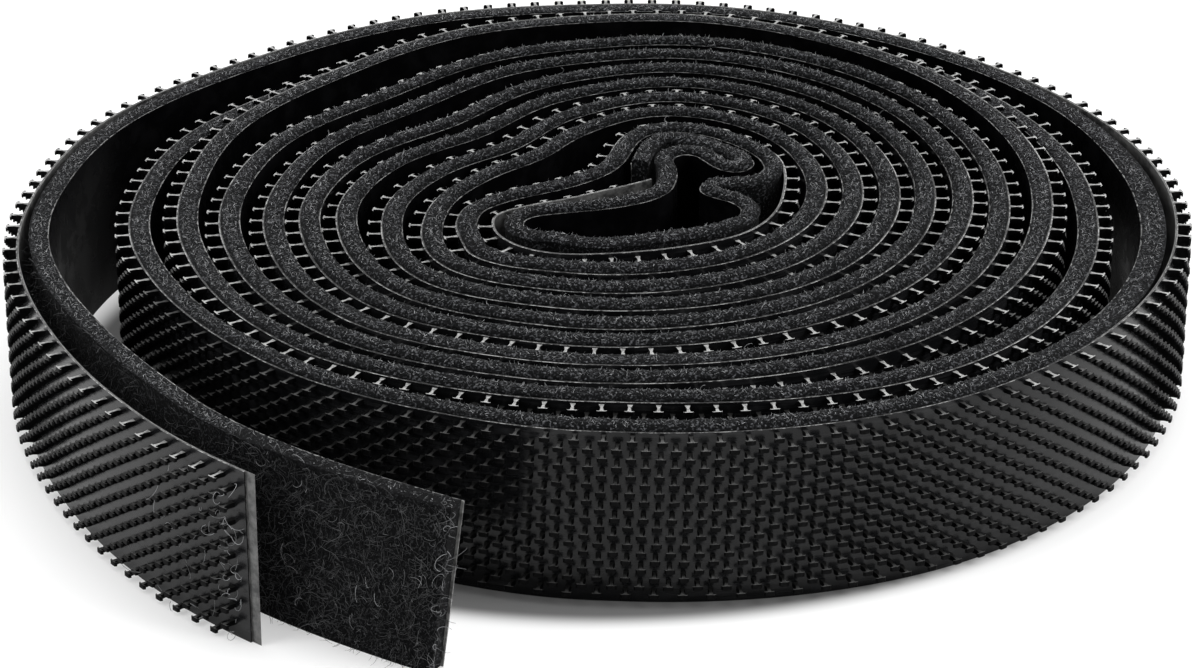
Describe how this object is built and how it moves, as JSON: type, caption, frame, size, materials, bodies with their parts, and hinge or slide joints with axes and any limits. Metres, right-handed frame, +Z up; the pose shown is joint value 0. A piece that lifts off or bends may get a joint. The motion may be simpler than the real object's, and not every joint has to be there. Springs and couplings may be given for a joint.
{
  "type": "hook and loop tape roll",
  "caption": "Loose roll of self-adhesive hook tape and loop tape wound together on edge, with release liners, a folded core and two free ends that bend outwards.",
  "frame": {"origin": "under the middle of the whole roll, on the surface that its lower tape edges stand on", "axes": "+Z up along the tape's width and the winding's axis, +X to the right and +Y away from the side where the free ends lie"},
  "size_m": [0.171, 0.173, 0.0288],
  "materials": {
    "hook_film": "black moulded hook film, satin",
    "adhesive": "clear grey pressure-sensitive adhesive",
    "hook_liner": "thin smoke-grey release film, satin",
    "loop_fabric": "charcoal napped knit pile",
    "loop_liner": "glossy black release film, bare"
  },
  "bodies": {
    "hook_coil": {"hook_tape_coil": "hook_film", "hook_adhesive_coil": "adhesive", "hook_liner_coil": "hook_liner"},
    "hook_end": {"hook_tape_end": "hook_film", "hook_adhesive_end": "adhesive", "hook_liner_end": "hook_liner"},
    "loop_coil": {"loop_fabric_coil": "loop_fabric", "loop_adhesive_coil": "adhesive", "loop_liner_coil": "loop_liner"},
    "loop_end": {"loop_fabric_end": "loop_fabric", "loop_adhesive_end": "adhesive", "loop_liner_end": "loop_liner"}
  },
  "joints": [
    {"name": "hook_end_bend", "type": "hinge", "parent": "hook_coil", "child": "hook_end", "pos_m": [-0.06707, -0.05262, 0.0127], "axis": [0, 0, -1], "range_deg": [-6, 45], "stiffness_Nm_per_rad": 0.004},
    {"name": "loop_tape_lift", "type": "slide", "parent": "hook_coil", "child": "loop_coil", "axis": [0, 0, 1], "range_m": [0, 0.0254]},
    {"name": "loop_end_bend", "type": "hinge", "parent": "loop_coil", "child": "loop_end", "pos_m": [-0.04138, -0.07079, 0.0127], "axis": [0, 0, -1], "range_deg": [-5, 40], "stiffness_Nm_per_rad": 0.004}
  ]
}
